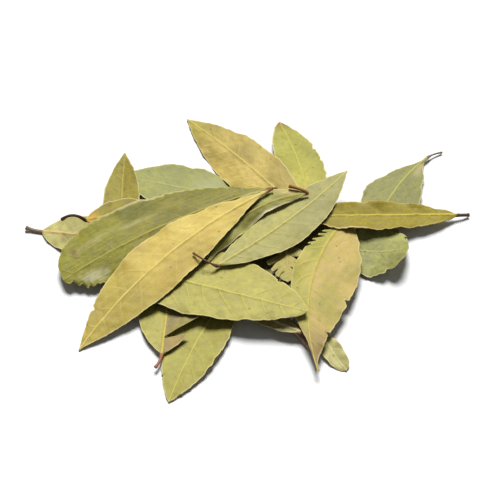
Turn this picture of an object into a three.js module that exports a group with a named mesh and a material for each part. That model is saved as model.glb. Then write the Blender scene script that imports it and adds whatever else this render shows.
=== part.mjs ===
// A sprig of dried bay laurel lying on a table: a short woody twig with its stiff, curved leaves
// on and around it, the way they come out of a packet.
// Units are millimetres, +Z is up, and the surface that the sprig lies on is z = 0.
//
// A leaf grew as one piece, so it is one closed solid: its stalk runs on into the midrib of a thin
// blade with a waved margin. The leaves are laid down one after another. Each is stiff, so it comes
// to rest on three points of what lies below it, round its own weight, as a tray does on pebbles.

import * as THREE from "three";

// ---------------------------------------------------------------- driving dimensions

const BLADE_THICKNESS = 0.62;
const STALK_RADIUS = 0.6;
const TIP_HALF_WIDTH = 0.5; // a blade's tip is this blunt, so that no face there is a sliver
const BLADE_STEPS = 16; // from base to tip
const STALK_STEPS = 4;
const COLUMNS = [-1, -0.64, -0.3, 0, 0.3, 0.64, 1]; // lines along the leaf, from its right margin to its left

const CLEARANCE = 0.36; // height kept between a leaf and the leaves below it
const CELL = 0.75; // side of the square cells in which contacts are looked for
const SAMPLE_SPACING = 0.45;

const MIDDLE = [-0.69, 5.08]; // the middle of the sprig, in the coordinates of the tables below: the origin

const TWIG = {
  name: "twig",
  colour: "bark",
  route: [[19, -33.5], [15, -28], [10, -21], [4, -12], [0, -3], [-3, 7], [-9, 15]],
  radius: 1.3, // at the cut end, where the route starts
  tipRadius: 0.8,
  nodes: [0.12, 0.34, 0.56, 0.78], // where leaves grew, as shares of the length
  nodeSwelling: 0.35,
  nodeLength: 0.025,
  sides: 8,
  steps: 40,
};

const COLOURS = {
  tan: 0xb9a35c,
  straw: 0xb5ad62,
  lime: 0xa9ab5b,
  olive: 0x94893f,
  green: 0x757c4a,
  sage: 0x9da57a,
  bark: 0x8a5a3a,
};

// The leaves in the order in which they are laid down, lowest first. Lengths are in millimetres.
//   base, tip     the two ends of the blade, seen from above
//   width         of the blade at its widest, before it is folded
//   ends          [a, b]: the half width follows s^a (1 - s)^b, so a small number makes a blunt end
//   uneven        share by which the left half is wider than half of the width, and the right one narrower
//   bow, arch     how far the midrib bends to its left and upwards, half way along
//   lift          how far the outer end of the blade curls up
//   cup, fold     how the margins stand above the midrib: height of a round trough, angle of a V
//   twist         degrees by which the blade has turned about its midrib at its tip
//   waves         [height, number, start] of the waves of the margin
//   stalk         [length, bend to the left, bend upwards]
const LEAVES = [
  {
    name: "leaf_back_sage", colour: "sage", base: [2, 24], tip: [-42, 38],
    width: 20, ends: [0.85, 0.7], uneven: 0, bow: -1, arch: 0.4,
    lift: 0, cup: 0.3, fold: 2, twist: 0, waves: [0.4, 4, 0.45], stalk: [3.5, 0.5, 0.5],
  },
  {
    name: "leaf_back_left", colour: "olive", base: [-42, 10], tip: [-42, 46.5],
    width: 12.3, ends: [0.8, 0.95], uneven: 0, bow: 0.5, arch: 0.3,
    lift: 3, cup: 0.4, fold: 4, twist: 0, waves: [0.3, 3, 0.1], stalk: [3, 0.5, 0],
  },
  {
    name: "leaf_far_left", colour: "sage", base: [-68, 14], tip: [-29, 4],
    width: 16.5, ends: [0.75, 1], uneven: 0, bow: 1, arch: 0.3,
    lift: 0, cup: 0.3, fold: 2, twist: 0, waves: [0.3, 3, 0.4], stalk: [5.5, 0.5, 1],
  },
  {
    name: "leaf_left_tan", colour: "olive", base: [-53.5, 15], tip: [-27, 22.5],
    width: 11, ends: [0.8, 1], uneven: 0, bow: 0.5, arch: -0.3,
    lift: 0, cup: 0.2, fold: 2, twist: 0, waves: [0.3, 4, 0.7], stalk: [7.5, 2, 0.5],
  },
  {
    name: "leaf_far_right_green", colour: "green", base: [59.5, 46], tip: [40, 12],
    width: 19.5, ends: [1.5, 1], uneven: 0.1, bow: -2.8, arch: 0.5,
    lift: 0, cup: 0.3, fold: 3, twist: 0, waves: [0.4, 4, 0.2], stalk: [5.5, 1.5, -0.8],
  },
  {
    name: "leaf_right_sage", colour: "green", base: [27, 6.5], tip: [51, 3],
    width: 21, ends: [0.6, 0.33], uneven: 0, bow: 0, arch: 0,
    lift: 6, cup: 0.3, fold: 2, twist: -28, waves: [0.3, 4, 0.5], stalk: [3, 0.5, 0],
  },
  {
    name: "leaf_front_yellow", colour: "lime", base: [-4.5, -7.5], tip: [-25, -54.5],
    width: 18, ends: [0.85, 0.85], uneven: 0, bow: -1.5, arch: 0.6,
    lift: 0, cup: 0.3, fold: 2, twist: 0, waves: [0.4, 3, 0.9], stalk: [4, 0.5, 0],
  },
  {
    name: "leaf_front_left", colour: "lime", base: [-27.5, -37.5], tip: [-25.5, -8],
    width: 20, ends: [0.95, 0.7], uneven: -0.1, bow: 0, arch: 0.3,
    lift: 0, cup: 0.3, fold: 6, twist: 0, waves: [0.3, 3, 0.3], stalk: [5, 1.5, 0],
  },
  {
    name: "leaf_small", colour: "lime", base: [22.5, -28], tip: [30, -42.5],
    width: 6.5, ends: [0.8, 0.6], uneven: 0, bow: -0.8, arch: 0.5,
    lift: 0, cup: 0.3, fold: 12, twist: 0, waves: [0.3, 2, 0.1], stalk: [2.5, 0.3, 0],
  },
  {
    name: "leaf_under_front", colour: "olive", base: [16, -30], tip: [-4.5, -19],
    width: 6, ends: [0.8, 0.95], uneven: 0, bow: 0, arch: 0.5,
    lift: 0, cup: 0.2, fold: -15, twist: 0, waves: [0.3, 3, 0.7], stalk: [3, 0.3, 0],
  },
  {
    name: "leaf_inner", colour: "straw", base: [29.5, 18], tip: [-5, -16.5],
    width: 23, ends: [0.8, 0.9], uneven: 0, bow: 0.5, arch: 0.3,
    lift: 0, cup: 0.2, fold: 0, twist: 0, waves: [0.4, 4, 0], stalk: [3, 0.5, 0],
  },
  {
    name: "leaf_inner_small", colour: "straw", base: [11, 5.5], tip: [12, -11],
    width: 13, ends: [0.6, 0.8], uneven: 0, bow: 0.5, arch: 0.3,
    lift: 0, cup: 0.2, fold: 0, twist: 0, waves: [0.3, 2, 0.3], stalk: [1, 0, 0],
  },
  {
    name: "leaf_back_lime", colour: "lime", base: [20.5, 19], tip: [10, 63.5],
    width: 16, ends: [0.75, 0.78], uneven: 0, bow: -1.5, arch: 0.6,
    lift: 0, cup: 0.4, fold: 3, twist: 0, waves: [0.4, 3, 0.15], stalk: [3, 0.5, 0],
  },
  {
    name: "leaf_back_tan", colour: "tan", base: [18, 15.5], tip: [-21.5, 64.5],
    width: 17.5, ends: [0.85, 1], uneven: 0, bow: -0.5, arch: 1,
    lift: -1, cup: -0.5, fold: 0, twist: 0, waves: [0.4, 4, 0.8], stalk: [4, 0.8, 0],
  },
  {
    name: "leaf_right_straw", colour: "straw", base: [32.5, 17.5], tip: [21, -45],
    width: 20.6, ends: [1.1, 1.5], uneven: 0.37, bow: -7.6, arch: 0.8,
    lift: 0, cup: 0.4, fold: 2, twist: 12, waves: [0.4, 4, 0.6], stalk: [3, 0.5, 0],
  },
  {
    name: "leaf_front_lime", colour: "lime", base: [-35, -4.5], tip: [18, -25],
    width: 27, ends: [0.35, 0.7], uneven: 0.15, bow: -0.5, arch: 0.8,
    lift: 0, cup: 0, fold: -4, twist: 0, waves: [0.4, 4, 0.35], stalk: [4, 0.5, 0],
  },
  {
    name: "leaf_right_olive", colour: "olive", base: [68, 20], tip: [18, 15],
    width: 11.3, ends: [0.72, 0.55], uneven: 0.1, bow: 0.3, arch: 0.5,
    lift: 0, cup: 0.3, fold: 6, twist: 0, waves: [0.4, 4, 0.25], stalk: [4, -0.5, -0.5],
  },
  {
    name: "leaf_centre_sage", colour: "sage", base: [-10.5, -6], tip: [32, 33],
    width: 17, ends: [0.95, 0.98], uneven: 0, bow: -2.4, arch: 1,
    lift: 0.5, cup: -0.3, fold: -10, twist: 0, waves: [0.3, 3, 0.5], stalk: [5, 1, 0],
  },
  {
    name: "leaf_left_dark_green", colour: "green", base: [6, 26.5], tip: [-59.5, -9],
    width: 24, ends: [0.95, 0.42], uneven: -0.25, bow: -2, arch: 1.5,
    lift: -2, cup: -0.8, fold: -6, twist: 0, waves: [0.5, 5, 0.55], stalk: [3, 0.5, 0],
  },
  {
    name: "leaf_folded_olive", colour: "olive", base: [18.5, 22], tip: [-13.5, -3.5],
    width: 9.5, ends: [0.7, 0.9], uneven: -0.4, bow: -6, arch: 0.3,
    lift: 0, cup: -0.1, fold: -2, twist: 0, waves: [0.3, 3, 0.9], stalk: [2, 0, 0.3],
  },
  {
    name: "leaf_top_tan", colour: "tan", base: [6, 22.5], tip: [-53.5, -34.5],
    width: 19.5, ends: [1.3, 1.05], uneven: 0, bow: -4.4, arch: 1.5,
    lift: -1.8, cup: 0.2, fold: -5, twist: 0, waves: [0.4, 5, 0.3], stalk: [1.5, 0.2, 0.2],
  },
];

// ---------------------------------------------------------------- the shape of a leaf

const radians = THREE.MathUtils.degToRad;

// Half the width of the blade at s, from 0 at its base to 1 at its tip.
function halfWidth(leaf, s) {
  const [a, b] = leaf.ends;
  const widest = a / (a + b);
  const outline = (s ** a * (1 - s) ** b) / (widest ** a * (1 - widest) ** b);
  const end = THREE.MathUtils.lerp(STALK_RADIUS, TIP_HALF_WIDTH, s);
  return Math.max((leaf.width / 2) * outline, end);
}

// The leaf's own axes, seen from above: along its blade and to its left.
function axes(leaf) {
  const base = new THREE.Vector3(...leaf.base, 0);
  const along = new THREE.Vector3(...leaf.tip, 0).sub(base);
  const length = along.length();
  along.normalize();
  const left = new THREE.Vector3(-along.y, along.x, 0);
  return { base, along, left, length };
}

// The line that the midrib follows. It bends as two parabolas, and s runs from 0 to 1.
function midrib(leaf, s) {
  const { base, along, left, length } = axes(leaf);
  const bend = 4 * s * (1 - s);
  return base
    .addScaledVector(along, length * s)
    .addScaledVector(left, leaf.bow * bend)
    .add(new THREE.Vector3(0, 0, leaf.arch * bend + leaf.lift * s ** 3));
}

// The middle of the blade's thickness at s along the leaf and v across it, from -1 to 1.
function bladePoint(leaf, s, v) {
  const { left } = axes(leaf);
  const up = new THREE.Vector3(0, 0, 1);
  const even = halfWidth(leaf, s);
  const half = even * (1 + leaf.uneven * Math.sign(v));
  const share = even / (leaf.width / 2);
  const fold = radians(leaf.fold) * share;
  const [waveHeight, waveCount, waveStart] = leaf.waves;
  const wave = Math.sin(2 * Math.PI * (waveCount * s + waveStart + (v > 0 ? 0.37 : 0)));
  const across = half * v * Math.cos(fold);
  const out = Math.abs(v);
  const rise = half * out * Math.sin(fold) + share * out * out * (leaf.cup + waveHeight * wave * out);
  const turn = radians(leaf.twist * s ** 3);
  return midrib(leaf, s)
    .addScaledVector(left, across * Math.cos(turn) - rise * Math.sin(turn))
    .addScaledVector(up, across * Math.sin(turn) + rise * Math.cos(turn));
}

// The middle of the stalk at q, from 0 at the blade to 1 at its free end. It leaves the blade in
// line with the midrib and then bends.
function stalkPoint(leaf, q) {
  const { left } = axes(leaf);
  const [length, bendLeft, bendUp] = leaf.stalk;
  const start = midrib(leaf, 0);
  const back = start.clone().sub(midrib(leaf, 0.02)).normalize();
  return start
    .addScaledVector(back, length * q)
    .addScaledVector(left, bendLeft * q * q)
    .add(new THREE.Vector3(0, 0, bendUp * q * q));
}

// One cross-section of the leaf: the points of its upper face and of its lower face.
function bladeSection(leaf, s) {
  const step = 0.01;
  const upper = [];
  const lower = [];
  const from = Math.max(s - step, 0);
  const to = Math.min(s + step, 1);
  for (const v of COLUMNS) {
    const along = bladePoint(leaf, to, v).sub(bladePoint(leaf, from, v));
    const across = bladePoint(leaf, s, v + step).sub(bladePoint(leaf, s, v - step));
    const normal = along.cross(across).normalize();
    const rib = v === 0 ? (STALK_RADIUS - BLADE_THICKNESS / 2) * (1 - s) ** 2 : 0;
    const middle = bladePoint(leaf, s, v);
    upper.push(middle.clone().addScaledVector(normal, BLADE_THICKNESS / 2 + rib));
    lower.push(middle.clone().addScaledVector(normal, -BLADE_THICKNESS / 2 - rib));
  }
  return { upper, lower };
}

// The stalk is nearly round, a little flatter than it is wide.
function stalkSection(leaf, q) {
  const middle = stalkPoint(leaf, q);
  const along = stalkPoint(leaf, q - 0.01).sub(middle).normalize();
  const left = new THREE.Vector3(0, 0, 1).cross(along).normalize();
  const up = along.clone().cross(left);
  const upper = [];
  const lower = [];
  for (const v of COLUMNS) {
    const height = STALK_RADIUS * Math.sqrt(1 - 0.75 * v * v);
    const side = middle.clone().addScaledVector(left, STALK_RADIUS * v);
    upper.push(side.clone().addScaledVector(up, height));
    lower.push(side.clone().addScaledVector(up, -height));
  }
  return { upper, lower };
}

// The leaf's cross-sections in order, from the stalk's free end to the blade's tip. They lie a
// little closer together near both ends of the blade, where its outline turns.
function leafSections(leaf) {
  const sections = [];
  for (let i = STALK_STEPS; i >= 1; i--) {
    sections.push(stalkSection(leaf, i / STALK_STEPS));
  }
  for (let i = 0; i <= BLADE_STEPS; i++) {
    const u = i / BLADE_STEPS;
    sections.push(bladeSection(leaf, u - 0.06 * Math.sin(2 * Math.PI * u)));
  }
  return sections;
}

// One closed skin over the cross-sections. Both faces are split into triangles along the same
// diagonals, so that the waved blade keeps its thickness everywhere.
function skinOver(sections) {
  const count = sections[0].upper.length;
  const points = sections.flatMap((section) => [...section.upper, ...section.lower]);
  const upper = (row, column) => row * 2 * count + column;
  const lower = (row, column) => row * 2 * count + count + column;
  const triangles = [];
  const addQuad = (a, b, c, d) => triangles.push([a, b, c], [a, c, d]);
  for (let row = 0; row < sections.length - 1; row++) {
    for (let k = 0; k < count - 1; k++) {
      addQuad(upper(row, k), upper(row + 1, k), upper(row + 1, k + 1), upper(row, k + 1));
      addQuad(lower(row, k), lower(row, k + 1), lower(row + 1, k + 1), lower(row + 1, k));
    }
    addQuad(upper(row, 0), lower(row, 0), lower(row + 1, 0), upper(row + 1, 0));
    const last = count - 1;
    addQuad(upper(row, last), upper(row + 1, last), lower(row + 1, last), lower(row, last));
  }
  const end = sections.length - 1;
  for (let k = 0; k < count - 1; k++) {
    addQuad(upper(0, k), upper(0, k + 1), lower(0, k + 1), lower(0, k));
    addQuad(upper(end, k), lower(end, k), lower(end, k + 1), upper(end, k + 1));
  }
  return { points, triangles };
}

// ---------------------------------------------------------------- laying the leaves down

// The height of the highest thing laid down so far, over each cell of a square grid.
const ground = new Map();
const cellOf = (x, y) => `${Math.round(x / CELL)} ${Math.round(y / CELL)}`;

// Calls back for points spread over the triangles of a skin, corners included.
function eachSample({ points, triangles }, callback) {
  const sample = new THREE.Vector3();
  for (const [a, b, c] of triangles) {
    const origin = points[a];
    const ab = points[b].clone().sub(origin);
    const ac = points[c].clone().sub(origin);
    const steps = Math.ceil(Math.max(ab.length(), ac.length()) / SAMPLE_SPACING);
    for (let i = 0; i <= steps; i++) {
      for (let j = 0; j <= steps - i; j++) {
        callback(sample.copy(origin).addScaledVector(ab, i / steps).addScaledVector(ac, j / steps));
      }
    }
  }
}

// For each cell that a skin covers: where it is, and by how much the skin has to rise to clear
// what lies there already. On bare table it may come right down.
function neededLifts(skin) {
  const lowest = new Map();
  eachSample(skin, ({ x, y, z }) => {
    const cell = cellOf(x, y);
    if (!(lowest.get(cell)?.z <= z)) {
      lowest.set(cell, { x, y, z });
    }
  });
  return [...lowest].map(([cell, { x, y, z }]) => {
    const floor = ground.has(cell) ? ground.get(cell) + CLEARANCE : 0;
    return { x, y, lift: floor - z };
  });
}

// The plane lift = p x + q y + r through three feet.
function planeThrough(feet) {
  const rows = feet.map(({ x, y }) => [x, y, 1]);
  const inverse = new THREE.Matrix3(...rows.flat()).invert();
  return new THREE.Vector3(...feet.map((foot) => foot.lift)).applyMatrix3(inverse);
}

// The shares in which three feet carry a weight that stands at a place.
function sharesOf(feet, { x, y }) {
  const columns = [feet.map((foot) => foot.x), feet.map((foot) => foot.y), [1, 1, 1]];
  const inverse = new THREE.Matrix3(...columns.flat()).invert();
  return new THREE.Vector3(x, y, 1).applyMatrix3(inverse).toArray();
}

// The plane on which a stiff body comes to rest. It starts on three feet far away and far below,
// and goes on moving one foot to the place that pokes through most, always the one that keeps the
// weight between the feet, until nothing pokes through.
function restingPlane(lifts) {
  const weight = new THREE.Vector2();
  lifts.forEach(({ x, y }) => weight.add(new THREE.Vector2(x, y).divideScalar(lifts.length)));
  const far = 1000;
  let feet = [0, 1, 2].map((i) => {
    const angle = (2 * Math.PI * i) / 3;
    return { x: weight.x + far * Math.cos(angle), y: weight.y + far * Math.sin(angle), lift: -far };
  });
  for (;;) {
    const plane = planeThrough(feet);
    const above = ({ x, y, lift }) => lift - (plane.x * x + plane.y * y + plane.z);
    const worst = lifts.reduce((most, place) => (above(place) > above(most) ? place : most));
    if (above(worst) < 1e-6) {
      return plane;
    }
    const carried = sharesOf(feet, weight);
    const moved = sharesOf(feet, worst);
    const ratios = moved.map((share, i) => (share > 1e-9 ? carried[i] / share : Infinity));
    feet = feet.map((foot, i) => (i === ratios.indexOf(Math.min(...ratios)) ? worst : foot));
  }
}

// Lets a skin come to rest, no part of it under the table, and remembers its upper side for those
// that are laid on it.
function layDown(skin) {
  const plane = restingPlane(neededLifts(skin));
  skin.points.forEach((point) => {
    point.z += plane.x * point.x + plane.y * point.y + plane.z;
  });
  const sunk = Math.min(0, ...skin.points.map((point) => point.z));
  skin.points.forEach((point) => {
    point.z -= sunk;
  });
  remember(skin);
}

function remember(skin) {
  eachSample(skin, ({ x, y, z }) => {
    const cell = cellOf(x, y);
    ground.set(cell, Math.max(ground.get(cell) ?? 0, z));
  });
}

// ---------------------------------------------------------------- the twig

// The twig lies along the table. Its section is an octagon that stands on one side, so that its
// underside is flat, and it swells where leaves grew.
function twigSkin() {
  const route = new THREE.CatmullRomCurve3(TWIG.route.map(([x, y]) => new THREE.Vector3(x, y, 0)));
  const sections = [];
  for (let i = 0; i <= TWIG.steps; i++) {
    const s = i / TWIG.steps;
    const swelling = TWIG.nodes.map((node) => Math.exp(-(((s - node) / TWIG.nodeLength) ** 2)));
    const taper = THREE.MathUtils.lerp(TWIG.radius, TWIG.tipRadius, s);
    const radius = taper + TWIG.nodeSwelling * swelling.reduce((sum, each) => sum + each, 0);
    const along = route.getTangentAt(s);
    const left = new THREE.Vector3(-along.y, along.x, 0);
    const height = radius * Math.cos(Math.PI / TWIG.sides);
    const corner = (k) => {
      const angle = (2 * Math.PI * (k + 0.5)) / TWIG.sides;
      return route
        .getPointAt(s)
        .addScaledVector(left, -radius * Math.cos(angle))
        .add(new THREE.Vector3(0, 0, height + radius * Math.sin(angle)));
    };
    const half = TWIG.sides / 2;
    const upper = Array.from({ length: half }, (_, k) => corner(k));
    const lower = Array.from({ length: half }, (_, k) => corner(TWIG.sides - 1 - k));
    sections.push({ upper, lower });
  }
  return skinOver(sections);
}

// ---------------------------------------------------------------- the sprig

function meshOf(name, colour, { points, triangles }) {
  const geometry = new THREE.BufferGeometry().setFromPoints(points);
  geometry.setIndex(triangles.flat());
  geometry.computeVertexNormals();
  const material = new THREE.MeshStandardMaterial({ color: COLOURS[colour], roughness: 0.6, metalness: 0 });
  const mesh = new THREE.Mesh(geometry, material);
  mesh.name = name;
  return mesh;
}

const sprig = new THREE.Group();
sprig.position.set(-MIDDLE[0], -MIDDLE[1], 0);

const twig = twigSkin();
remember(twig);
sprig.add(meshOf(TWIG.name, TWIG.colour, twig));

for (const leaf of LEAVES) {
  const skin = skinOver(leafSections(leaf));
  layDown(skin);
  sprig.add(meshOf(leaf.name, leaf.colour, skin));
}

export default sprig;
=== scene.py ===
# %% [markdown]
# # A sprig of dried bay laurel
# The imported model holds 21 stiff leaves and the short twig that they lie on, plain as a cast. This
# lesson gives each its fine form and its dry surface, and keeps the size of the whole to a few
# tenths of a millimetre. All is in metres in the model's own frame: Z is up, the table at Z = 0.

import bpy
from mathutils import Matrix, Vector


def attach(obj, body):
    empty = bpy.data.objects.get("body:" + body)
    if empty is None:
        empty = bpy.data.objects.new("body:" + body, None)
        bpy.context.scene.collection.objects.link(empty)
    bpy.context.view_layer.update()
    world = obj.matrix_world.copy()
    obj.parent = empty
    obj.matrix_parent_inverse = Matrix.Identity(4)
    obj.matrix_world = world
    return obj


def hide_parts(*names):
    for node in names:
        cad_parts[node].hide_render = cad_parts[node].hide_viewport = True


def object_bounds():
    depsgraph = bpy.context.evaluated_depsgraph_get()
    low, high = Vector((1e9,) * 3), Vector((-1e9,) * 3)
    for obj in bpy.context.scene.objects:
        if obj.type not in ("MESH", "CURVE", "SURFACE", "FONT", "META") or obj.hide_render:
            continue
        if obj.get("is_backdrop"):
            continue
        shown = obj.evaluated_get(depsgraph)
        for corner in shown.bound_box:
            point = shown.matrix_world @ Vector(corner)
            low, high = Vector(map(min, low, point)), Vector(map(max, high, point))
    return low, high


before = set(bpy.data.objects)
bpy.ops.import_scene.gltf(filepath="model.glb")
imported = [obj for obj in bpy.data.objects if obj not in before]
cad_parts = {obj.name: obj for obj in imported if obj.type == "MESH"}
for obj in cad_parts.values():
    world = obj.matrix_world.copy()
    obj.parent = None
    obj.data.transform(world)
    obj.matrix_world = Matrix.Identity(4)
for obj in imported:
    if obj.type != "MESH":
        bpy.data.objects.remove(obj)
cad_low, cad_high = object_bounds()
print("packed pieces:", len(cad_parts))

# %% [markdown]
# ## Units and arrays
# Lengths are in millimetres, as a leaf is measured, and one factor turns them into metres at the
# end. Each shape is worked out by numpy for all of its points at once. A loop over the points would
# give the same, hundreds of times more slowly.

# %% Units and arrays
from types import SimpleNamespace

import bpy
import numpy as np
from mathutils import Vector

MM = 0.001
UP = np.array([0.0, 0.0, 1.0])
scene = bpy.context.scene


def unit(vectors):
    """Each vector divided by its own length."""
    return vectors / np.linalg.norm(vectors, axis=-1, keepdims=True)


def smooth(x, low, high):
    """0 below low, 1 above high, and between them the S-shaped rise 3t^2 - 2t^3."""
    t = np.clip((x - low) / (high - low), 0, 1)
    return t * t * (3 - 2 * t)


def bell(x, reach):
    """A bell exp(-(x / reach)^2): 1 at x = 0, nearly 0 from twice the reach on."""
    return np.exp(-((x / reach) ** 2))


def ripples(x, y, wavelength, seed, count=9):
    """Smooth random relief, mostly between -1.5 and 1.5: a sum of sines in seeded directions, each
    0.7 to 1.5 wavelengths long."""
    random = np.random.default_rng(seed)
    angles = random.uniform(0, np.pi, count)
    phases = random.uniform(0, 2 * np.pi, count)
    lengths = wavelength * random.uniform(0.7, 1.5, count)
    total = 0
    for angle, phase, length in zip(angles, phases, lengths):
        total = total + np.sin(2 * np.pi * (x * np.cos(angle) + y * np.sin(angle)) / length + phase)
    return total / np.sqrt(count)

# %% [markdown]
# ## The camera
# The sprig is seen from 50 degrees above the table, 70 cm away through a long lens, so that near
# and far leaves have almost the same scale. A short lens would stretch the near ones.

# %% The camera
CAMERA_ELEVATION = np.radians(50)
CAMERA_DISTANCE = 700 * MM
CAMERA_TARGET = np.array([0.69, -5.08, 8]) * MM
LENS_MM, SENSOR_MM = 157.5, 36

backwards = np.array([0, -np.cos(CAMERA_ELEVATION), np.sin(CAMERA_ELEVATION)])
camera = bpy.data.objects.new("camera", bpy.data.cameras.new("camera"))
camera.data.lens = LENS_MM
camera.data.sensor_width = SENSOR_MM
camera.data.clip_start, camera.data.clip_end = 0.01, 10
camera.location = CAMERA_TARGET + backwards * CAMERA_DISTANCE
camera.rotation_euler = Vector(-backwards).to_track_quat("-Z", "Y").to_euler()
scene.collection.objects.link(camera)
scene.camera = camera
print("camera height:", round(camera.location.z / MM), "mm")

# %% [markdown]
# ## The leaves in numbers
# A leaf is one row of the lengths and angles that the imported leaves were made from, and one formula
# draws it as finely as wanted. A sculpt could hold more accidents, but each leaf would be one.
#
# - `base` and `tip`: the two ends of the blade, seen from above
# - `width`: of the blade at its widest; `ends`: (a, b) of its outline s^a (1 - s)^b; `uneven`: by
#   what share its left half is wider than that, and its right one narrower
# - `bow`, `arch`, `lift`: how far the midrib bends to its left, upwards, and up at its tip
# - `cup`, `fold`, `twist`: height of the round trough, angle of the V that the halves make, and
#   turn of the tip
# - `waves`: height, number and start of the waves of the margin
# - `stalk`: its length, and how far it bends to the left and upwards

# %% The leaves in numbers
STALK_RADIUS = 0.6
TIP_HALF_WIDTH = 0.5
PACKED_THICKNESS = 0.62
MIDDLE = np.array([-0.69, 5.08])  # the frame's origin, as base and tip count

COLUMNS = ("name", "slot", "base", "tip", "width", "ends", "uneven", "bow", "arch", "lift", "cup",
           "fold", "twist", "waves", "stalk")
ROWS = (
    ("leaf_back_sage", "leaf_sage", (2, 24), (-42, 38), 20, (0.85, 0.7),
     0, -1, 0.4, 0, 0.3, 2, 0, (0.4, 4, 0.45), (3.5, 0.5, 0.5)),
    ("leaf_back_left", "leaf_olive", (-42, 10), (-42, 46.5), 12.3, (0.8, 0.95),
     0, 0.5, 0.3, 3, 0.4, 4, 0, (0.3, 3, 0.1), (3, 0.5, 0)),
    ("leaf_far_left", "leaf_sage", (-68, 14), (-29, 4), 16.5, (0.75, 1),
     0, 1, 0.3, 0, 0.3, 2, 0, (0.3, 3, 0.4), (5.5, 0.5, 1)),
    ("leaf_left_tan", "leaf_olive", (-53.5, 15), (-27, 22.5), 11, (0.8, 1),
     0, 0.5, -0.3, 0, 0.2, 2, 0, (0.3, 4, 0.7), (7.5, 2, 0.5)),
    ("leaf_far_right_green", "leaf_green", (59.5, 46), (40, 12), 19.5, (1.5, 1),
     0.1, -2.8, 0.5, 0, 0.3, 3, 0, (0.4, 4, 0.2), (5.5, 1.5, -0.8)),
    ("leaf_right_sage", "leaf_green", (27, 6.5), (51, 3), 21, (0.6, 0.33),
     0, 0, 0, 6, 0.3, 2, -28, (0.3, 4, 0.5), (3, 0.5, 0)),
    ("leaf_front_yellow", "leaf_lime", (-4.5, -7.5), (-25, -54.5), 18, (0.85, 0.85),
     0, -1.5, 0.6, 0, 0.3, 2, 0, (0.4, 3, 0.9), (4, 0.5, 0)),
    ("leaf_front_left", "leaf_lime", (-27.5, -37.5), (-25.5, -8), 20, (0.95, 0.7),
     -0.1, 0, 0.3, 0, 0.3, 6, 0, (0.3, 3, 0.3), (5, 1.5, 0)),
    ("leaf_small", "leaf_lime", (22.5, -28), (30, -42.5), 6.5, (0.8, 0.6),
     0, -0.8, 0.5, 0, 0.3, 12, 0, (0.3, 2, 0.1), (2.5, 0.3, 0)),
    ("leaf_under_front", "leaf_olive", (16, -30), (-4.5, -19), 6, (0.8, 0.95),
     0, 0, 0.5, 0, 0.2, -15, 0, (0.3, 3, 0.7), (3, 0.3, 0)),
    ("leaf_inner", "leaf_straw", (29.5, 18), (-5, -16.5), 23, (0.8, 0.9),
     0, 0.5, 0.3, 0, 0.2, 0, 0, (0.4, 4, 0), (3, 0.5, 0)),
    ("leaf_inner_small", "leaf_straw", (11, 5.5), (12, -11), 13, (0.6, 0.8),
     0, 0.5, 0.3, 0, 0.2, 0, 0, (0.3, 2, 0.3), (1, 0, 0)),
    ("leaf_back_lime", "leaf_lime", (20.5, 19), (10, 63.5), 16, (0.75, 0.78),
     0, -1.5, 0.6, 0, 0.4, 3, 0, (0.4, 3, 0.15), (3, 0.5, 0)),
    ("leaf_back_tan", "leaf_tan", (18, 15.5), (-21.5, 64.5), 17.5, (0.85, 1),
     0, -0.5, 1, -1, -0.5, 0, 0, (0.4, 4, 0.8), (4, 0.8, 0)),
    ("leaf_right_straw", "leaf_straw", (32.5, 17.5), (21, -45), 20.6, (1.1, 1.5),
     0.37, -7.6, 0.8, 0, 0.4, 2, 12, (0.4, 4, 0.6), (3, 0.5, 0)),
    ("leaf_front_lime", "leaf_lime", (-35, -4.5), (18, -25), 27, (0.35, 0.7),
     0.15, -0.5, 0.8, 0, 0, -4, 0, (0.4, 4, 0.35), (4, 0.5, 0)),
    ("leaf_right_olive", "leaf_olive", (68, 20), (18, 15), 11.3, (0.72, 0.55),
     0.1, 0.3, 0.5, 0, 0.3, 6, 0, (0.4, 4, 0.25), (4, -0.5, -0.5)),
    ("leaf_centre_sage", "leaf_sage", (-10.5, -6), (32, 33), 17, (0.95, 0.98),
     0, -2.4, 1, 0.5, -0.3, -10, 0, (0.3, 3, 0.5), (5, 1, 0)),
    ("leaf_left_dark_green", "leaf_green", (6, 26.5), (-59.5, -9), 24, (0.95, 0.42),
     -0.25, -2, 1.5, -2, -0.8, -6, 0, (0.5, 5, 0.55), (3, 0.5, 0)),
    ("leaf_folded_olive", "leaf_olive", (18.5, 22), (-13.5, -3.5), 9.5, (0.7, 0.9),
     -0.4, -6, 0.3, 0, -0.1, -2, 0, (0.3, 3, 0.9), (2, 0, 0.3)),
    ("leaf_top_tan", "leaf_tan", (6, 22.5), (-53.5, -34.5), 19.5, (1.3, 1.05),
     0, -4.4, 1.5, -1.8, 0.2, -5, 0, (0.4, 5, 0.3), (1.5, 0.2, 0.2)),
)
LEAVES = [dict(zip(COLUMNS, row)) for row in ROWS]
print("leaves:", len(LEAVES))

# %% [markdown]
# ## The shape of a blade
# A laurel blade is a lens-shaped sheet, stiff along its midrib. Its shape is a function of two
# numbers: s runs from the base to the tip, and v from the right margin (-1) to the left (1). By
# hand it would take a curve for each margin, where a formula takes one line.

# %% The outline and the midrib
def directions(leaf):
    """The leaf's base, the unit vectors along its blade and to its left, and its length."""
    base = np.append(leaf["base"] - MIDDLE, 0)
    run = np.append(leaf["tip"] - MIDDLE, 0) - base
    length = np.linalg.norm(run)
    along = run / length
    return base, along, np.cross(UP, along), length


def half_width(leaf, s):
    """Half the blade's width at s: s^a (1 - s)^b scaled to the leaf's width, and never less than
    the stalk's radius at the base and the blunt end at the tip."""
    a, b = leaf["ends"]
    widest = a / (a + b)
    outline = s**a * (1 - s) ** b / (widest**a * (1 - widest) ** b)
    ends = STALK_RADIUS + (TIP_HALF_WIDTH - STALK_RADIUS) * s
    return np.maximum(leaf["width"] / 2 * outline, ends)


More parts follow.
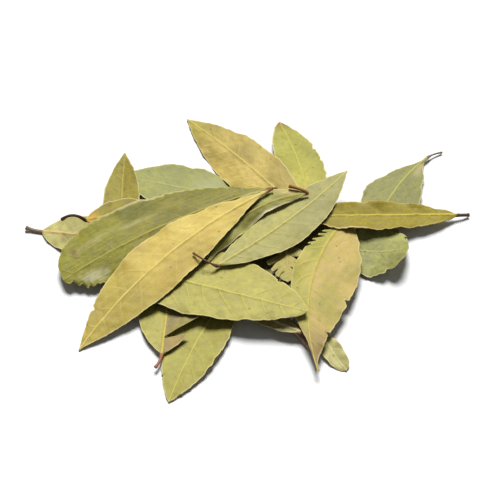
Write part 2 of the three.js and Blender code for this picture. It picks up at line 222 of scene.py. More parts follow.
def side_width(leaf, s, v):
    """From midrib to margin on the side of v: half the width, times 1 + uneven on the left and
    1 - uneven on the right."""
    return half_width(leaf, s) * (1 + leaf["uneven"] * np.sign(v))


def midrib(leaf, s):
    """The line of the midrib: straight from base to tip, bowed to the left and arched by parabolas
    4s(1 - s), and lifted with s^3."""
    base, along, left, length = directions(leaf)
    bend = 4 * s * (1 - s)
    rise = leaf["arch"] * bend + leaf["lift"] * s**3
    flat = base + along * (length * s)[..., None] + left * (leaf["bow"] * bend)[..., None]
    return flat + UP * rise[..., None]


longest = max(LEAVES, key=lambda leaf: directions(leaf)[3])
print("longest blade:", longest["name"], round(directions(longest)[3], 1), "mm")

# %% [markdown]
# ## Out from the midrib
# Across the blade a V-shaped fold, a round trough and waves of the margin add up. What is square to
# it could be worked out too, but a cross product of two small steps gives it for any formula.

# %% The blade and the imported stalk
LEFT_WAVES_AHEAD = 0.37  # of a wave
STEP = 0.01  # in s, v or q, to find a direction
STALK_START = 0.02  # the s from which the stalk takes the midrib's line


def blade(leaf, s, v):
    """The middle of the blade: out from the midrib by half the width times v, raised by the fold,
    a trough v^2 and waves v^3, and turned by the twist times s^3."""
    half = side_width(leaf, s, v)
    share = half_width(leaf, s) / (leaf["width"] / 2)
    fold = np.radians(leaf["fold"]) * share
    height, count, start = leaf["waves"]
    wave = np.sin(2 * np.pi * (count * s + start + np.where(v > 0, LEFT_WAVES_AHEAD, 0)))
    out = np.abs(v)
    across = half * v * np.cos(fold)
    rise = half * out * np.sin(fold) + share * out**2 * (leaf["cup"] + height * wave * out)
    turn = np.radians(leaf["twist"]) * s**3
    sideways = across * np.cos(turn) - rise * np.sin(turn)
    upwards = across * np.sin(turn) + rise * np.cos(turn)
    left = directions(leaf)[2]
    return midrib(leaf, s) + left * sideways[..., None] + UP * upwards[..., None]


def blade_normal(leaf, s, v):
    """What is square to the blade: a small step along it crossed with one across it."""
    before, after = np.maximum(s - STEP, 0), np.minimum(s + STEP, 1)
    along = blade(leaf, after, v) - blade(leaf, before, v)
    across = blade(leaf, s, v + STEP) - blade(leaf, s, v - STEP)
    return unit(np.cross(along, across))


def stalk(leaf, q):
    """The middle of the stalk at q, 0 at the blade and 1 at its free end: in line with the midrib,
    and bent away with q^2."""
    length, bend_left, bend_up = leaf["stalk"]
    start, next_to_it = midrib(leaf, np.array([0, STALK_START]))
    back = unit(start - next_to_it)
    bend = directions(leaf)[2] * bend_left + UP * bend_up
    return start + back * (length * q)[..., None] + bend * (q * q)[..., None]

# %% [markdown]
# ## Where each leaf came to rest
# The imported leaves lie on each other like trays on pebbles, each tipped by a plane
# z = p x + q y + r until it rests. The plane could be typed in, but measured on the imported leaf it
# stays right whatever changes below.

# %% Where each leaf came to rest
PACKED_ROWS, PACKED_CROWDING = 17, 0.06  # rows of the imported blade, closer at its ends
PACKED_COLUMNS = (-0.64, -0.3, 0.3, 0.64)
SAME_POINT_MM = 0.02


def resting_plane(leaf):
    """(p, q, r) of the leaf's plane, a least-squares fit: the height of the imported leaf's upper
    face less that of the formula's, wherever both have a point at the same x and y."""
    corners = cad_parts[leaf["name"]].data.vertices
    packed = np.array([corner.co for corner in corners], np.float32) / MM
    u = np.linspace(0, 1, PACKED_ROWS)[:, None]
    s = u - PACKED_CROWDING * np.sin(2 * np.pi * u)
    v = np.array([PACKED_COLUMNS])
    face = blade(leaf, s, v) + blade_normal(leaf, s, v) * PACKED_THICKNESS / 2
    face = face.reshape(-1, 3)
    apart = np.linalg.norm(packed[:, None, :2] - face[None, :, :2], axis=2)
    height = np.where(apart < SAME_POINT_MM, packed[:, None, 2], -np.inf).max(axis=0)
    level = np.column_stack([face[:, :2], np.ones(len(face))])
    plane, *_ = np.linalg.lstsq(level, height - face[:, 2], rcond=None)
    worst = np.abs(level @ plane + face[:, 2] - height).max()
    return plane, worst


for leaf in LEAVES:
    leaf["plane"], worst = resting_plane(leaf)
    tipped = np.degrees(np.arctan(np.hypot(*leaf["plane"][:2])))
    print(f"{leaf['name']}: tipped by {tipped:.1f} degrees, fits to {worst:.3f} mm")

# %% [markdown]
# ## How each leaf has dried
# Green fades to olive and then to tan, unevenly: often one half of a blade, or its tip, is further on
# than the rest. On a few leaves a half or a patch is painted shade or painted light instead. Lengths
# are in mm, and a side is 1 (left) or -1 (right).
#
# - `main`, `second`: the two lamina colours; `share`: how much there is of the second; `halves`:
#   how much more of it the left half has
# - `tip`, `tip_from`: the colour of the outer end, and the s from which it begins
# - `rib`, `rim`, `stalk`: colours of the midrib and veins, of the margin, and of the stalk
# - `veins`, `mottle`, `specks`, `streaks`: strength of side veins, blotches, specks, silky streaks
# - `ragged`: height of the nibbles of the margin
# - `tears`: (s, side, depth as a share of the half width, half its length along the margin, how far
#   its lips part in height); where the depth is negative, the margin is fuller
# - `sags`: (s, side, drop, reach as a share of the length) of a margin that hangs down
# - `patches`: (s, v, reach along, reach across, colour) of further blotches; on a few leaves they are
#   painted shade or painted highlight
# - `girth`: the stalk's radius as a share of the imported one; `hump`, `swing`: see `fine_stalk`

# %% How each leaf has dried
PLAIN = dict(
    main="#938847", second="#a0945a", halves=0.0, share=0.3, tip=None, tip_from=0.8,
    rib="#b8a866", rim="#c2b482", stalk="#6e4a2c", veins=0.5, mottle=0.5, specks=0.3,
    streaks=0.15, ragged=0.2, tears=(), sags=(), patches=(), girth=0.65, hump=0, swing=(0, 0, 0))

LOOKS = dict(
    leaf_top_tan=dict(main="#a48e41", second="#af9c4e", share=0.5, tip="#948438", tip_from=0.6,
        rib="#bba85f", veins=0.3, mottle=0.25, streaks=0.3, ragged=0.16, tears=((0.83, -1, 0.16,
        1.2, 0),), sags=((0.75, 1, 0.3, 0.25),)),
    # the third patch, a pale band along the right margin, is partly the margin's own paleness and
    # partly a painted highlight
    leaf_left_dark_green=dict(main="#5d5b17", second="#6e6725", share=0.4, tip="#6f6c1d",
        tip_from=0.66, rib="#8b823e", rim="#a19751", veins=0.3, mottle=0.6, streaks=0.8,
        ragged=0.4, tears=((1, 1, 0.5, 6, 0), (0.965, 1, 0.2, 1, 0.3), (0.93, 1, 0.16, 1.2, 0.2),
        (0.9, 1, 0.1, 0.8, 0.2), (0.86, 1, 0.08, 1.2, 0)), patches=((0.88, 0.6, 0.08, 0.35,
        "#a09b74"), (0.9, -0.55, 0.02, 0.25, "#5e4a2a"), (0.55, -0.98, 0.3, 0.06, "#a9a172"), (0.8,
        -0.5, 0.12, 0.12, "#857f4a"), (0.6, -0.4, 0.12, 0.08, "#858049"), (0.66, 0.55, 0.14, 0.1,
        "#87824c"))),
    leaf_far_left=dict(main="#8e894c", second="#9c965b", rib="#b69762", stalk="#7a6a54", veins=0.3,
        patches=((0.5, 0.35, 0.2, 0.3, "#ae9263"),), girth=0.95),
    leaf_left_tan=dict(main="#72651a", second="#776f21", share=0.4, rib="#9d8a32", stalk="#4a3426",
        patches=((0.03, 0, 0.16, 1.2, "#b48538"),), girth=0.75, hump=3),
    leaf_back_left=dict(main="#7a6d25", second="#797128", share=0.4, rib="#938734", veins=0.4),
    leaf_back_sage=dict(main="#7c7d47", second="#79783d", rib="#93915b", veins=0.35,
        patches=((0.34, 0, 0.2, 1, "#8d8f63"),)),
    # painted light and shade: the lighter second colour on the left half and the darker main one on
    # the right stand in for how the light falls across this leaf
    leaf_back_tan=dict(main="#8d7d3e", second="#a6934f", halves=0.9, share=0.5, tip="#90843c",
        rib="#ac9851", veins=0.3, mottle=0.3, streaks=0.3, sags=((0.6, 1, 1.3, 0.2),),
        patches=((0.1, 0.3, 0.12, 0.8, "#aa8845"),)),
    leaf_back_lime=dict(main="#838035", second="#888542", tip="#6a4d32", tip_from=0.93,
        rib="#a09743", veins=0.4, ragged=0.3, tears=((0.55, -1, 0.14, 1, 0), (0.42, -1, 0.1, 0.9,
        0)), patches=((0.35, 0, 0.2, 1.2, "#9b9546"),)),
    # the first patch, a pale band along the left margin, is partly the margin's own paleness and
    # partly a painted highlight
    leaf_folded_olive=dict(main="#585216", second="#8d8b4b", share=0.4, rib="#8f893d",
        stalk="#80522a", veins=0.2, streaks=0.6, tears=((0.68, 1, -0.75, 14, 0),), sags=((0.65, 1,
        0.8, 0.3),), patches=((0.35, 0.95, 0.22, 0.3, "#b3ab8c"), (0.1, -0.6, 0.1, 0.5,
        "#a8945c")), girth=0.75, hump=0.6, swing=(-7.8, 1.9, 1.1)),
    leaf_centre_sage=dict(main="#918c55", second="#888347", share=0.35, tip="#868250",
        tip_from=0.56, rib="#a49b57", stalk="#5d4230", veins=0.25, mottle=0.4, ragged=0.12,
        girth=0.48, hump=1.4, swing=(-2.8, 5.8, 2.7)),
    leaf_right_olive=dict(main="#7e721f", second="#726718", share=0.4, rib="#aa9a3c",
        rim="#b29853", stalk="#4a3a30", veins=0.2, mottle=0.6, streaks=0.5, ragged=0.25,
        patches=((0.75, 1, 0.22, 0.12, "#c3aa8c"),), girth=0.85),
    leaf_far_right_green=dict(main="#757442", second="#69683b", halves=0.8, rib="#97944b",
        stalk="#6d6254", veins=0.45, mottle=0.6, ragged=0.35, tears=((0.9, 1, 0.2, 1, 0.2), (0.75,
        -1, 0.12, 1, 0)), patches=((0.14, 0.5, 0.13, 0.5, "#978c63"),), girth=0.5),
    leaf_right_sage=dict(main="#787845", second="#7f7f47", rib="#928f50", mottle=0.8, ragged=0.55,
        tears=((0.93, 1, 0.16, 1.6, 0.3), (0.6, 1, 0.14, 1.4, 0.2), (0.8, -1, 0.1, 1.5, 0), (0.5,
        -1, 0.16, 1.3, 0))),
    leaf_right_straw=dict(main="#8c883d", second="#98854b", halves=0.7, share=0.4, tip="#7e693f",
        tip_from=0.78, rib="#a39747", rim="#b3a771", veins=0.8, mottle=0.3, specks=0.8,
        ragged=0.22, tears=((0.42, 1, 0.14, 1, 0.2), (0.7, 1, 0.22, 1.6, 0.3), (0.9, -1, 0.6, 12,
        0), (0.06, -1, 0.7, 0.45, 0), (0.085, -1, 0.6, 0.45, 0), (0.11, -1, 0.75, 0.5, 0), (0.135,
        -1, 0.6, 0.45, 0), (0.16, -1, 0.65, 0.5, 0), (0.185, -1, 0.4, 0.45, 0), (0.21, -1, 0.3,
        0.5, 0)), sags=((0.6, 1, 0.8, 0.3),)),
    leaf_front_lime=dict(main="#918a45", second="#8d8743", share=0.4, rib="#a79d50", veins=0.8,
        specks=0.5, ragged=0.25, tears=((0.3, 1, 0.06, 1, 0), (0.62, 1, 0.07, 1.2, 0))),
    leaf_front_yellow=dict(main="#888039", second="#837f3d", share=0.4, rib="#a29948", veins=0.4,
        ragged=0.3, tears=((0.5, -1, 0.12, 1, 0.2), (0.8, -1, 0.15, 1, 0))),
    # painted shade: the darker second colour on the right half and the patch on it are partly this
    # half's own grey-green tan and partly the shade cast by the leaf above
    leaf_front_left=dict(main="#8f8943", second="#6e6240", halves=-0.8, share=0.4, rib="#a89742",
        stalk="#8a5a44", veins=0.35, tears=((0.22, -1, 0.92, 1.7, 0.5),), patches=((0.2, -0.6,
        0.18, 0.6, "#826e3f"),), girth=0.8),
    leaf_small=dict(main="#999463", second="#938d58", rib="#aba46d", stalk="#6a5040"),
    leaf_under_front=dict(main="#908556", second="#a39463", rib="#aa9d6f", rim="#b1a771"),
    # painted shade: these dark colours stand mostly for the shade that the leaves above cast on this
    # leaf
    leaf_inner=dict(main="#6f6733", second="#59511f", share=0.4, rib="#766a37", ragged=0.5,
        tears=((0.72, -1, 0.3, 1.2, 0.3), (0.5, -1, 0.3, 1.2, 0.3))),
    # its colours are darkened, partly its own tone and partly painted shade from the leaves above
    leaf_inner_small=dict(main="#91884c", second="#7d7133", rib="#978b4a", ragged=0.5,
        tears=((0.28, 1, 0.8, 1.7, 0.3), (0.16, -1, 0.9, 0.7, 0.3), (0.6, 1, 0.75, 0.6, 0.3), (0.5,
        -1, 0.5, 0.6, 0.3), (0.34, -1, 0.85, 0.6, 0.5), (0.42, 1, 0.7, 0.5, 0.5), (0.68, -1, 0.8,
        0.6, 0.4))),
)
for leaf in LEAVES:
    leaf["look"] = {**PLAIN, **LOOKS[leaf["name"]]}

# %% [markdown]
# ## The side veins
# Drying shrinks the soft tissue between the veins: the blade cockles, and its veins stay proud. A
# bump map fakes this from straight above only, so it is real relief here. The side veins could be
# curves, but a number at every point, whole on each vein, also tells how near the vein is.

# %% The side veins
LEAST_SPACING, BLADE_PER_MM = 4, 20  # mm, and the length of blade that adds a mm
VEIN_LEAN, VEIN_SWEEP = 0.75, 0.035
VEIN_WANDER, WANDER_MM = 0.13, 14


def vein_spacing(leaf):
    """Millimetres between side veins along the midrib: more on a longer leaf."""
    return LEAST_SPACING + directions(leaf)[3] / BLADE_PER_MM


def vein_phase(leaf, x, y, seed):
    """A number that is whole on each side vein, which starts lean |y| + sweep y^2 further back.
    On the left, veins start between those of the right. Each wanders."""
    start = x - VEIN_LEAN * np.abs(y) - VEIN_SWEEP * y**2
    strays = VEIN_WANDER * ripples(x, y, WANDER_MM, seed)
    return start / vein_spacing(leaf) + np.where(y > 0, 0.5, 0) + strays


print("side veins of the longest leaf:", round(vein_spacing(longest), 1), "mm apart")

# %% [markdown]
# ## The margin
# A dried margin is nibbled, and torn between two side veins. A Boolean cut would leave ragged
# triangles, so the outermost points are drawn in instead.

# %% The margin
ROW_SLANT = 0.7
NIBBLES = ((7, 0.35), (2.6, 0.4), (1.2, 0.25))  # length and share of three ripples
AROUND = 40  # keeps the ripples of the two margins different
LEAST_WIDTH = 0.06  # what a tear leaves of the half width


def row_slant(leaf, s, v):
    """How much nearer to the tip a row is at v than at the midrib. Rows run with the side veins,
    so that a tear between veins is a gap between rows, but squarely near both ends."""
    window = smooth(s, 0, 0.2) * smooth(1 - s, 0, 0.4)
    return ROW_SLANT * window * side_width(leaf, s, v) * np.abs(v) / directions(leaf)[3]


def margin(leaf, s, v, seed):
    """The margin as a factor of the outline: ripples, less a wedge (1 - distance / reach)^0.7 for
    each tear, and a tip that closes in a quarter ellipse."""
    length = directions(leaf)[3]
    half = half_width(leaf, s)
    x, side = length * s, np.sign(v)
    ripple = sum(share * ripples(x, AROUND * side, size, seed + number)
                 for number, (size, share) in enumerate(NIBBLES))
    factor = 1 + leaf["look"]["ragged"] * ripple / half * smooth(half, 0.8, 3)
    for place, torn_side, depth, reach, _ in leaf["look"]["tears"]:
        wedge = np.clip(1 - np.abs(s - place) * length / reach, 0, 1) ** 0.7
        factor = factor - depth * wedge * (side == torn_side)
    rounding = np.clip((x - length + 1) / 1.02, 0, 1)
    return np.maximum(factor, LEAST_WIDTH) * np.sqrt(1 - rounding**2)

# %% [markdown]
# ## The relief of the blade
# The blade buckles in swells a centimetre long, with a crinkle on top; the tissue bulges between
# veins, the margin frills, the lips of a tear part, and some margins sag. Cloth physics would take
# long to find such forms, so each is one term of a sum. The half thickness is a function too, as a
# Solidify modifier makes no midrib that stands out on both faces.

# %% The relief of the blade
SWELLS, CRINKLES, FRILL = (0.12, 10), (0.05, 3.2), (0.16, 5)  # height and length
QUILTING = 0.05  # by which the tissue bulges between two veins
LIP_REACH = 3  # how far from a tear its lips part


def cockles(leaf, row, s, v, x, y, phase, seed):
    """How far the blade is pushed up: swells, crinkles, a cosine of the vein number, a frill that
    grows with v^4, a bell around each tear, up on one lip and down on the other, and a bell of
    each sag."""
    out, side = np.abs(v), np.sign(v)
    rise = (SWELLS[0] * ripples(x, y, SWELLS[1], seed + 2) * (0.4 + 0.6 * out)
            + CRINKLES[0] * ripples(x, y, CRINKLES[1], seed + 3)
            + QUILTING * np.cos(2 * np.pi * phase + np.pi) * out
            + FRILL[0] * out**4 * ripples(x, AROUND * side, FRILL[1], seed + 4))
    for place, torn_side, depth, _, part in leaf["look"]["tears"]:
        past = (row - place) * directions(leaf)[3]
        lip = part * np.sign(past) * bell(past, LIP_REACH) * smooth(out, 1 - depth, 1)
        rise = rise + lip * (side == torn_side)
    for place, sag_side, drop, reach in leaf["look"]["sags"]:
        rise = rise - drop * bell(s - place, reach) * smooth(sag_side * v, 0.2, 1)
    return rise


# %% The thickness of the blade
THICKNESS, THINNING = 0.4, 0.45  # and what share of it the margin loses
RIB_HEIGHT, RIB_WIDTH = (0.3, 0.2), (0.45, 0.22)  # at the base, and what is lost by the tip
VEIN_HEIGHT, VEIN_WIDTH = 0.07, 0.3
ALMOST_ROUND = 1.02  # over 1, so that the faces of a stalk never quite meet
STALK_ENDS = 0.08  # the s by which the stalk has become the blade


def half_thickness(s, v, y, from_vein, edge):
    """Half the thickness: less towards the margin with v^8, plus a bell across the midrib and
    each side vein. At the base it is the half circle of the stalk."""
    ridge = (RIB_HEIGHT[0] - RIB_HEIGHT[1] * s) * bell(y, RIB_WIDTH[0] - RIB_WIDTH[1] * s)
    side_vein = VEIN_HEIGHT * bell(from_vein, VEIN_WIDTH) * smooth(edge, 0.2, 2)
    thick = THICKNESS / 2 * (1 - THINNING * np.abs(v) ** 8) + ridge + side_vein
    round_stalk = STALK_RADIUS * np.sqrt(ALMOST_ROUND - v**2)
    return round_stalk + (thick - round_stalk) * smooth(s, 0, STALK_ENDS)


print("across a midrib a blade is up to", THICKNESS + 2 * RIB_HEIGHT[0], "mm thick")

# %% [markdown]
# ## The stalk
# The stalk dries thin, wrinkled and often bent, with a swollen foot where it broke from the twig. A
# bevelled curve would need joining to the blade, so the blade's grids run on into the stalk.

# %% The stalk
ROW_LENGTH = 0.34
FOOT, STALK_WRINKLES = 0.25, (0.05, 2)  # shares of the radius, and a wrinkle's length


def fine_stalk(leaf, q):
    """The middle of the dried stalk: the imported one's, a hump 4q(1 - q) and a swing q^2."""
    hump = UP * leaf["look"]["hump"] * (4 * q * (1 - q))[..., None]
    return stalk(leaf, q) + hump + np.array(leaf["look"]["swing"]) * (q * q)[..., None]


def stalk_grid(leaf, v, seed):
    """The q of each row, and middle, normal and half thickness of its points: a circle that
    narrows to the stalk's girth and swells at the foot."""
    packed_length, girth = leaf["stalk"][0], leaf["look"]["girth"]
    rows = round((packed_length + np.linalg.norm(leaf["look"]["swing"])) / ROW_LENGTH)
    q = np.linspace(1, 0, rows + 1)[:-1, None]
    towards = unit(fine_stalk(leaf, q - STEP) - fine_stalk(leaf, q))
    left = unit(np.cross(UP, towards))
    foot = FOOT * girth * smooth(q, 0.75, 1)
    radius = STALK_RADIUS * (1 + (girth - 1) * smooth(q, 0, 0.4) + foot)
    depth, size = STALK_WRINKLES
    wrinkle = 1 + depth * ripples(q * packed_length, 3 * v, size, seed + 5)
    middle = fine_stalk(leaf, q) + left * (radius * v)[..., None]
    normal = np.cross(towards, left) + 0 * middle
    return q, middle, normal, radius * np.sqrt(ALMOST_ROUND - v**2) * wrinkle


# %% [markdown]
# ## The two grids of a leaf
# Two grids of points, an upper and a lower face, are pushed off the middle surface. They crowd
# where the form changes fastest, at the midrib and both ends; spread evenly they would have to be
# more. Each keeps its place on the leaf for the patterns of the material.

# %% The two grids of a leaf
HALF_COLUMNS, COLUMN_CROWDING, ROW_CROWDING = 27, 1.25, 0.1
VEIN_ANGLE = 0.8  # a point is nearer to a slanting vein than it is along the midrib
RIB_REACH, RIB_TAPER = 0.5, 0.27  # half width of the coloured rib, and its loss by the tip
FAR = 9  # the stalk counts as this far from any margin


def fine_leaf(leaf, seed):
    """The upper and lower grid, and for each point its `place` (s, v, 0), the same in `mm`, and
    where it is among the `veins`: (vein number, distance from the midrib in half widths of the
    rib, distance from the margin)."""
    length = directions(leaf)[3]
    t = np.linspace(-1, 1, 2 * HALF_COLUMNS + 1)[None, :]
    v = np.sign(t) * np.abs(t) ** COLUMN_CROWDING
    u = np.linspace(0, 1, round(length / ROW_LENGTH))[:, None]
    row = u - ROW_CROWDING * np.sin(2 * np.pi * u)
    factor = margin(leaf, row, v, seed)
    s = row + row_slant(leaf, row, v * factor)
    half = side_width(leaf, s, v)
    x, y = length * s, half * v * factor
    edge = half * factor * (1 - np.abs(v))
    phase = vein_phase(leaf, x, y, seed)
    from_vein = np.abs(phase - np.round(phase)) * vein_spacing(leaf) * VEIN_ANGLE

    rise = cockles(leaf, row, s, v, x, y, phase, seed) * smooth(s, 0, 0.06)
    normal = blade_normal(leaf, s, v * factor)
    middle = blade(leaf, s, v * factor) + normal * rise[..., None]
    blade_grid = middle, normal, half_thickness(s, v, y, from_vein, edge)
    q, *stalk_part = stalk_grid(leaf, v, seed)
    middle, normal, thick = (np.concatenate(pair) for pair in zip(stalk_part, blade_grid))
    upper, lower = middle + normal * thick[..., None], middle - normal * thick[..., None]

    bare = np.zeros((len(q), v.size))
    rib = np.abs(y) / (RIB_REACH - RIB_TAPER * np.clip(x / length, 0, 1))
    s = np.concatenate([bare - q * leaf["stalk"][0] / length, s])
    mm = s * length, np.concatenate([bare + STALK_RADIUS * v, y]), 0 * s + 10 * seed
    veins = [np.concatenate(pair) for pair in ((bare, phase), (bare, rib), (bare + FAR, edge))]
    grids = dict(place=(s, 0 * s + v, 0 * s), mm=mm, veins=veins)
    return upper, lower, {name: np.stack(parts, axis=-1) for name, parts in grids.items()}


print("rows and columns of its upper face:", fine_leaf(longest, seed=1)[0].shape[:2])

# %% [markdown]
# ## From two grids to one closed piece
# The faces between neighbouring points are listed with numpy too. The lower face is the upper one
# turned over, and four strips join them round the margin, so the piece is closed.

# %% From two grids to one closed piece
SHARP_ANGLE = np.radians(60)


def closed_skin(rows, columns):
    """Corner numbers of the four-sided faces of a closed skin over an upper and a lower grid,
    anticlockwise seen from outside: a is all but the last row or column, b all but the first."""
    upper = np.arange(rows * columns).reshape(rows, columns)
    lower = upper + rows * columns
    a, b = slice(None, -1), slice(1, None)
    top = [upper[a, a], upper[b, a], upper[b, b], upper[a, b]]
    bottom = [lower[a, a], lower[a, b], lower[b, b], lower[b, a]]
    right = [upper[a, 0], lower[a, 0], lower[b, 0], upper[b, 0]]
    left = [upper[a, -1], upper[b, -1], lower[b, -1], lower[a, -1]]
    start = [upper[0, a], upper[0, b], lower[0, b], lower[0, a]]
    end = [upper[-1, a], lower[-1, a], lower[-1, b], upper[-1, b]]
    strips = [top, bottom, right, left, start, end]
    return np.concatenate([np.stack(corners, axis=-1).reshape(-1, 4) for corners in strips])


def mesh_object(name, points, faces, attributes):
    """A smooth-shaded object of points in mm, four-sided faces and three-part attributes."""
    mesh = bpy.data.meshes.new(name)
    mesh.from_pydata((points * MM).tolist(), [], faces.tolist())
    mesh.shade_smooth()
    mesh.set_sharp_from_angle(angle=SHARP_ANGLE)
    for attribute, values in attributes.items():
        data = mesh.attributes.new(attribute, "FLOAT_VECTOR", "POINT").data
        data.foreach_set("vector", values.astype(np.float32).ravel())
    made = bpy.data.objects.new(name, mesh)
    scene.collection.objects.link(made)
    return made


def leaf_object(leaf, seed):
    """The leaf's fine mesh on its plane. The third part of `place` and `mm` is 1 more on the upper
    face, and 1 less on the lower."""
    upper, lower, grids = fine_leaf(leaf, seed)
    points = np.concatenate([upper.reshape(-1, 3), lower.reshape(-1, 3)])
    p, q, r = leaf["plane"]
    points[:, 2] += p * points[:, 0] + q * points[:, 1] + r
    points[:, 2] = np.maximum(points[:, 2], 0)
    attributes = {name: np.tile(grid.reshape(-1, 3), (2, 1)) for name, grid in grids.items()}
    for name in ("place", "mm"):
        attributes[name][:, 2] += np.repeat([1.0, -1.0], len(points) // 2)
    return mesh_object(leaf["name"] + "_fine", points, closed_skin(*upper.shape[:2]), attributes)

# %% [markdown]
# ## Colours
# Colours are picked as sRGB, as a screen shows them, but light adds up in linear numbers, so one
# function turns every hex value into the linear colour that a shader needs.

# %% Colours
def linear(code):
    """The linear colour of an sRGB hex value: ((c + 0.055) / 1.055)^2.4 for all but the darkest."""
    srgb = np.array([int(code[i : i + 2], 16) for i in (1, 3, 5)]) / 255
    rgb = np.where(srgb < 0.04045, srgb / 12.92, ((srgb + 0.055) / 1.055) ** 2.4)
    return (*rgb, 1.0)


print("middle grey, #808080, is", round(linear("#808080")[0], 3), "in linear light")

# %% [markdown]
# ## One helper for nodes
# A material is a graph: each node computes one value from others. One function adds a node, sets
# its properties, links its inputs, and hands back one of its outputs for the next.

# %% One helper for nodes
COLOUR_A, COLOUR_B, COLOUR_OUT = 6, 7, 2  # the colour sockets of a Mix node


def node(tree, kind, inputs=(), out=0, **settings):
    """Adds a node of a kind. inputs are values or other nodes' outputs, in the order of its
    sockets or by their names. Returns output `out`."""
    made = tree.nodes.new("ShaderNode" + kind)
    for name, value in settings.items():
        setattr(made, name, value)
    pairs = inputs.items() if isinstance(inputs, dict) else enumerate(inputs)
    for name, value in pairs:
        if isinstance(value, bpy.types.NodeSocket):
            tree.links.new(value, made.inputs[name])
        else:
            made.inputs[name].default_value = value
    return made if out is None else made.outputs[out]


def empty_graph(owner):
    """The node tree of a material or world, with nothing in it yet."""
    owner.use_nodes = True
    owner.node_tree.nodes.clear()
    return owner.node_tree


def washes(tree, colour, layers):
    """Washes of pigment over a colour, each an amount from 0 to 1 and an sRGB value."""
    for amount, code in layers:
        colour = node(tree, "Mix", {0: amount, COLOUR_A: colour, COLOUR_B: linear(code)},
                      out=COLOUR_OUT, data_type="RGBA")
    return colour


# %% [markdown]
# ## Dried laurel leaf
# A dried leaf is a stiff, leathery sheet with a waxy skin: a faint satin gloss, broken by a net of
# tiny veins, over blotches of pigment. The patterns read the attributes that were measured on the
# leaf. A painted image would do as well from one distance, but a pattern stays sharp at any.

# %% Dried laurel leaf
BLOTCH_MM, MOTTLE_MM = 11, 1.5
STREAK_MM = (9, 0.6)  # length and width
STREAK_SCALE = (1 / STREAK_MM[0], 1 / STREAK_MM[1], 1)


def leaf_patterns(tree):
    """A point's place on its leaf, and noises whose scale is 1 over their size in mm."""
    at = SimpleNamespace()
    for name in ("place", "mm", "veins"):
        setattr(at, name, node(tree, "Attribute", attribute_name=name, out="Vector"))
    at.along, at.across, at.face = node(tree, "SeparateXYZ", [at.place], out=None).outputs
    at.phase, at.from_rib, at.from_edge = node(tree, "SeparateXYZ", [at.veins], out=None).outputs
    at.blotch = node(tree, "TexNoise", {"Vector": at.mm, "Scale": 1 / BLOTCH_MM, "Detail": 3})
    at.mottle = node(tree, "TexNoise", {"Vector": at.mm, "Scale": 1 / MOTTLE_MM, "Detail": 4,
                                        "Roughness": 0.6})
    narrow = node(tree, "Mapping", {"Vector": at.mm, "Scale": STREAK_SCALE})
    at.streak = node(tree, "TexNoise", {"Vector": narrow, "Scale": 1, "Detail": 3})
    return at


# %% [markdown]
# ## The pigment
# Chlorophyll breaks down unevenly, so there is never one green. Two colours mixed by a noise give
# the blotches, and ellipses with a broken outline the spots that stand out.

# %% The pigment
HALVES_MEET = 0.15  # the v up to which one half turns into the other
TIP_BLUR, TIP_RISE = 0.16, (0.04, 0.16)  # shift of the tip colour by blotches, and its rise
PATCH_BREAK, PATCH_FADE, PATCH_STRENGTH = 1.2, (0.9, 1.7), 0.85


def pigment(tree, look, at):
    """Two colours in blotches and by halves, the tip's, and patches: ellipses, the length of
    ((s, v) - middle) / reach, moved in and out by the mottling. Then each of the three noises
    multiplies the colour by 1 - depth to 1 + depth."""
    tilt = look["halves"] / 2
    half = node(tree, "MapRange", [at.across, -HALVES_MEET, HALVES_MEET, look["share"] - tilt,
                                   look["share"] + tilt], interpolation_type="SMOOTHSTEP")
    second = node(tree, "MapRange", [at.blotch, 0.35, 0.65, -0.4, 0.4])
    second = node(tree, "Math", [half, second], operation="ADD", use_clamp=True)
    layers = [(second, look["second"])]
    if look["tip"]:
        outer = node(tree, "Math", [at.blotch, TIP_BLUR, at.along], operation="MULTIPLY_ADD")
        outer = node(tree, "MapRange", [outer, *(look["tip_from"] + rise for rise in TIP_RISE)])
        layers.append((outer, look["tip"]))
    for s, v, long, wide, code in look["patches"]:
        away = node(tree, "VectorMath", [at.place, (s, v, 0)], operation="SUBTRACT")
        away = node(tree, "VectorMath", [away, (1 / long, 1 / wide, 0)], operation="MULTIPLY")
        away = node(tree, "VectorMath", [away], operation="LENGTH", out="Value")
        away = node(tree, "Math", [at.mottle, PATCH_BREAK, away], operation="MULTIPLY_ADD")
        near = node(tree, "MapRange", [away, *PATCH_FADE, PATCH_STRENGTH, 0])
        layers.append((near, code))
    colour = washes(tree, linear(look["main"]), layers)
    for pattern, depth in ((at.mottle, 0.36 * look["mottle"]), (at.blotch, 0.14),
                           (at.streak, 0.2 * look["streaks"])):
        shade = node(tree, "MapRange", [pattern, 0.3, 0.7, 1 - depth, 1 + depth])
        colour = node(tree, "VectorMath", {0: colour, "Scale": shade}, operation="SCALE")
    return colour


# %% [markdown]
# ## Veins and specks
# The veins dry pale yellow, and are drawn from the vein number, or they would miss the raised ones.
# The net of the smallest is the walls of a Voronoi pattern. Brown specks are insect marks: discs in
# a few cells of a flat one, as a solid one's points rarely meet the blade.

# %% Veins and specks
NET_MM = 0.85  # about twice the real net's, which would be too fine to show
SPECK_MM = 6.5  # spacing of the cells that can hold a speck
VEIN_LINE = (0.015, 0.055)  # where a vein's line is full, and gone, in spacings
VEIN_FADE_MM = (0.4, 3.5)  # side veins end this far from the margin
RIB_LINE, RIB_TO_VEIN = (0.35, 1.1), 0.7
NET_WALL, NET_STRENGTH = (0.02, 0.12), 0.12
SPECK_DISC, SPECK_STRENGTH, SPECK_BROWN = (0.03, 0.065), 0.6, "#5b4424"
SPECKS_APART_MM = 150  # each leaf has another part of the pattern


